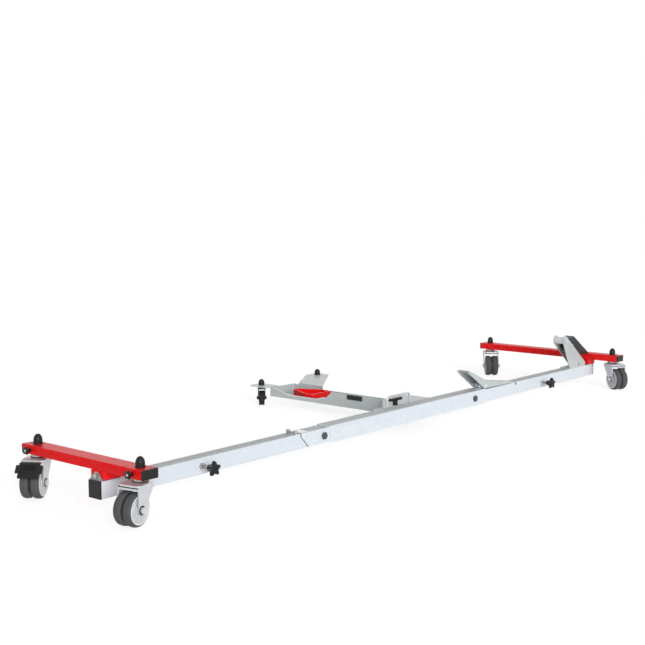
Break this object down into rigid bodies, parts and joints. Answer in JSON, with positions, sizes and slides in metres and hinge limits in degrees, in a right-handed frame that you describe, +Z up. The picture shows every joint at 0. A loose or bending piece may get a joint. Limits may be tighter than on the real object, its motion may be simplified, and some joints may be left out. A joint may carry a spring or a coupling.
{
  "type": "motorcycle mover dolly",
  "caption": "Folding rail on swivel castors that carries a motorcycle sideways, with a front wheel stop, a rocker and an outrigger arm with a pad for the side stand.",
  "frame": {"origin": "on the floor under the middle of the dolly's outer box", "axes": "+X along the rail towards the wheel stop, +Y towards the side arm, +Z up"},
  "size_m": [2.3452, 0.846, 0.1995],
  "materials": {
    "rail_paint": "pale satin coat",
    "red_paint": "gloss red coat",
    "zinc": "bright zinc",
    "black_plastic": "fine grain",
    "dark_paint": "satin black coat",
    "grey_tread": "matt grey",
    "dark_tread": "matt black",
    "pale_hub": "moulded"
  },
  "bodies": {
    "centre": {"centre_sleeve": "rail_paint", "rear_hinge_channel": "rail_paint", "front_hinge_channel": "rail_paint", "pivot_bolts": "dark_paint", "side_arm": "rail_paint", "arm_bracket": "rail_paint", "stand_pad": "red_paint", "arm_castor_stems": "zinc", "arm_stem_caps": "black_plastic", "arm_socket": "rail_paint", "rocker_bracket": "rail_paint", "arm_patch": "black_plastic"},
    "rear_inner": {"rear_tongue": "zinc"},
    "rear_section": {"rear_rail": "rail_paint", "rear_rail_plug": "black_plastic", "rear_end_bracket": "rail_paint", "rear_fasteners": "zinc", "rear_block": "red_paint", "rear_beam": "red_paint", "rear_beam_caps": "black_plastic", "rear_castor_stems": "zinc", "rear_stem_caps": "black_plastic"},
    "front_inner": {"front_tongue": "zinc"},
    "front_section": {"front_rail": "rail_paint", "front_rail_plug": "black_plastic", "front_fasteners": "zinc", "front_block": "red_paint", "front_beam": "red_paint", "front_beam_caps": "black_plastic", "front_castor_stems": "zinc", "front_stem_caps": "black_plastic", "stop_bracket": "rail_paint", "stop_strut": "dark_paint"},
    "rocker": {"rocker_plate": "rail_paint"},
    "lock_bail": {"arm_lock_bail": "zinc"},
    "tee_knob": {"arm_tee_knob": "black_plastic"},
    "roller": {"stop_roller": "zinc"},
    "pedal": {"brake_pedal": "black_plastic"},
    "rear_clamp": {"rear_rail_knob": "black_plastic"},
    "front_clamp": {"front_rail_knob": "black_plastic"},
    "rear_near_stem_clamp": {"rear_near_stem_knob": "black_plastic"},
    "rear_near_castor": {"rear_near_fork": "zinc"},
    "rear_near_wheels": {"rear_near_hubs": "pale_hub", "rear_near_tyres": "grey_tread"},
    "rear_far_stem_clamp": {"rear_far_stem_knob": "black_plastic"},
    "rear_far_castor": {"rear_far_fork": "zinc"},
    "rear_far_wheels": {"rear_far_hubs": "pale_hub", "rear_far_tyres": "grey_tread"},
    "front_near_stem_clamp": {"front_near_stem_knob": "black_plastic"},
    "front_near_castor": {"front_near_fork": "zinc"},
    "front_near_wheels": {"front_near_hubs": "pale_hub", "front_near_tyres": "grey_tread"},
    "front_far_stem_clamp": {"front_far_stem_knob": "black_plastic"},
    "front_far_castor": {"front_far_fork": "zinc"},
    "front_far_wheels": {"front_far_hubs": "pale_hub", "front_far_tyres": "grey_tread"},
    "arm_outer_castor": {"arm_outer_castor_fork": "dark_paint"},
    "arm_outer_wheel": {"arm_outer_castor_wheel": "dark_tread"},
    "arm_front_castor": {"arm_front_castor_fork": "dark_paint"},
    "arm_front_wheel": {"arm_front_castor_wheel": "dark_tread"}
  },
  "joints": [
    {"name": "rear_fold", "type": "hinge", "parent": "centre", "child": "rear_inner", "pos_m": [-0.37888, -0.24802, 0.059], "axis": [0, -1, 0], "range_deg": [0, 90]},
    {"name": "front_fold", "type": "hinge", "parent": "centre", "child": "front_inner", "pos_m": [0.35312, -0.24802, 0.059], "axis": [0, 1, 0], "range_deg": [0, 90]},
    {"name": "rear_extend", "type": "slide", "parent": "rear_inner", "child": "rear_section", "axis": [-1, 0, 0], "range_m": [0, 0.15]},
    {"name": "front_extend", "type": "slide", "parent": "front_inner", "child": "front_section", "axis": [1, 0, 0], "range_m": [0, 0.15]},
    {"name": "rocker_tip", "type": "hinge", "parent": "centre", "child": "rocker", "pos_m": [0.41312, -0.24802, 0.0923], "axis": [0, -1, 0], "range_deg": [0, 28]},
    {"name": "bail_lift", "type": "slide", "parent": "centre", "child": "lock_bail", "axis": [0, 0, 1], "range_m": [0, 0.04]},
    {"name": "tee_turn", "type": "hinge", "parent": "centre", "child": "tee_knob", "pos_m": [0.03312, -0.19802, 0.0755], "axis": [0, 0, 1], "continuous": true},
    {"name": "roller_spin", "type": "hinge", "parent": "front_section", "child": "roller", "pos_m": [0.94112, -0.24802, 0.1835], "axis": [0, 1, 0], "continuous": true},
    {"name": "rear_clamp_turn", "type": "hinge", "parent": "rear_section", "child": "rear_clamp", "pos_m": [-0.82788, -0.26802, 0.059], "axis": [0, -1, 0], "continuous": true},
    {"name": "rear_near_stem_clamp_turn", "type": "hinge", "parent": "rear_section", "child": "rear_near_stem_clamp", "pos_m": [-1.11938, -0.36102, 0.1095], "axis": [-1, 0, 0], "continuous": true},
    {"name": "rear_near_swivel", "type": "hinge", "parent": "rear_section", "child": "rear_near_castor", "pos_m": [-1.09688, -0.36102, 0.0905], "axis": [0, 0, 1], "continuous": true},
    {"name": "rear_near_roll", "type": "hinge", "parent": "rear_near_castor", "child": "rear_near_wheels", "pos_m": [-1.12916, -0.36788, 0.0375], "axis": [-0.2079, 0.9781, 0], "continuous": true},
    {"name": "rear_far_stem_clamp_turn", "type": "hinge", "parent": "rear_section", "child": "rear_far_stem_clamp", "pos_m": [-1.11938, -0.00302, 0.1095], "axis": [-1, 0, 0], "continuous": true},
    {"name": "rear_far_swivel", "type": "hinge", "parent": "rear_section", "child": "rear_far_castor", "pos_m": [-1.09688, -0.00302, 0.0905], "axis": [0, 0, 1], "continuous": true},
    {"name": "rear_far_roll", "type": "hinge", "parent": "rear_far_castor", "child": "rear_far_wheels", "pos_m": [-1.12424, -0.02148, 0.0375], "axis": [-0.5592, 0.829, 0], "continuous": true},
    {"name": "front_clamp_turn", "type": "hinge", "parent": "front_section", "child": "front_clamp", "pos_m": [0.77012, -0.26802, 0.059], "axis": [0, -1, 0], "continuous": true},
    {"name": "front_near_stem_clamp_turn", "type": "hinge", "parent": "front_section", "child": "front_near_stem_clamp", "pos_m": [1.15762, -0.35202, 0.1095], "axis": [1, 0, 0], "continuous": true},
    {"name": "front_near_swivel", "type": "hinge", "parent": "front_section", "child": "front_near_castor", "pos_m": [1.13512, -0.35202, 0.0905], "axis": [0, 0, 1], "continuous": true},
    {"name": "front_near_roll", "type": "hinge", "parent": "front_near_castor", "child": "front_near_wheels", "pos_m": [1.11862, -0.3806, 0.0375], "axis": [-0.866, 0.5, 0], "continuous": true},
    {"name": "front_far_stem_clamp_turn", "type": "hinge", "parent": "front_section", "child": "front_far_stem_clamp", "pos_m": [1.15762, 0.15998, 0.1095], "axis": [1, 0, 0], "continuous": true},
    {"name": "front_far_swivel", "type": "hinge", "parent": "front_section", "child": "front_far_castor", "pos_m": [1.13512, 0.15998, 0.0905], "axis": [0, 0, 1], "continuous": true},
    {"name": "front_far_roll", "type": "hinge", "parent": "front_far_castor", "child": "front_far_wheels", "pos_m": [1.10984, 0.13877, 0.0375], "axis": [-0.6428, 0.766, 0], "continuous": true},
    {"name": "brake_press", "type": "hinge", "parent": "rear_far_castor", "child": "pedal", "pos_m": [-1.13874, -0.03126, 0.0815], "axis": [0.5592, -0.829, 0], "range_deg": [0, 6]},
    {"name": "arm_outer_swivel", "type": "hinge", "parent": "centre", "child": "arm_outer_castor", "pos_m": [0.08712, 0.39498, 0.0565], "axis": [0, 0, 1], "continuous": true},
    {"name": "arm_outer_roll", "type": "hinge", "parent": "arm_outer_castor", "child": "arm_outer_wheel", "pos_m": [0.07722, 0.38508, 0.024], "axis": [-0.7071, 0.7071, 0], "continuous": true},
    {"name": "arm_front_swivel", "type": "hinge", "parent": "centre", "child": "arm_front_castor", "pos_m": [0.37412, 0.39498, 0.0565], "axis": [0, 0, 1], "continuous": true},
    {"name": "arm_front_roll", "type": "hinge", "parent": "arm_front_castor", "child": "arm_front_wheel", "pos_m": [0.36422, 0.38508, 0.024], "axis": [-0.7071, 0.7071, 0], "continuous": true}
  ]
}
